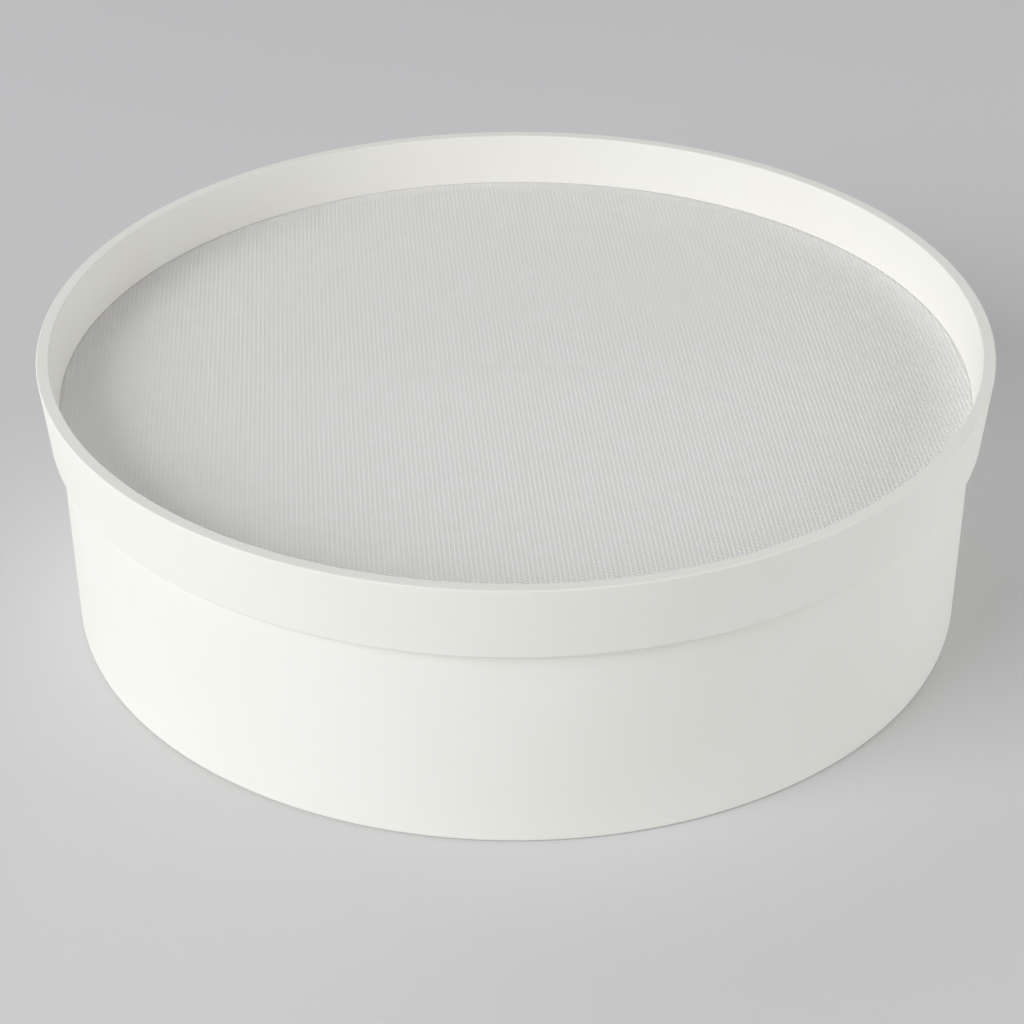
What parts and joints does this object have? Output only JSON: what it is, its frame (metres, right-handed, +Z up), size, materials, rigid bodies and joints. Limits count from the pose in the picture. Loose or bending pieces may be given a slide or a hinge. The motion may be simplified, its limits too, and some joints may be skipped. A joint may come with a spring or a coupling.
{
  "type": "flour sieve",
  "caption": "Round white plastic drum sieve: a fine woven nylon cloth stretched over a hoop and pinched by a flared push-on collar, for sifting flour.",
  "frame": {"origin": "centre of the hoop's foot, on the surface that the sieve stands on", "axes": "+Z up along the sieve's own axis, from the foot to the rim; -Y is the side seen in the picture"},
  "size_m": [0.2998, 0.2998, 0.091],
  "materials": {
    "white_plastic": "satin moulded white",
    "nylon_cloth": "plain-woven white monofilament"
  },
  "bodies": {
    "hoop": {"lower_hoop": "white_plastic"},
    "cloth": {"sieve_net": "nylon_cloth", "net_margin": "nylon_cloth"},
    "collar": {"collar_ring": "white_plastic"}
  },
  "joints": [
    {"name": "cloth_lift", "type": "slide", "parent": "hoop", "child": "cloth", "axis": [0, 0, 1], "range_m": [0, 0.03]},
    {"name": "collar_pull", "type": "slide", "parent": "cloth", "child": "collar", "axis": [0, 0, 1], "range_m": [0, 0.04]}
  ]
}
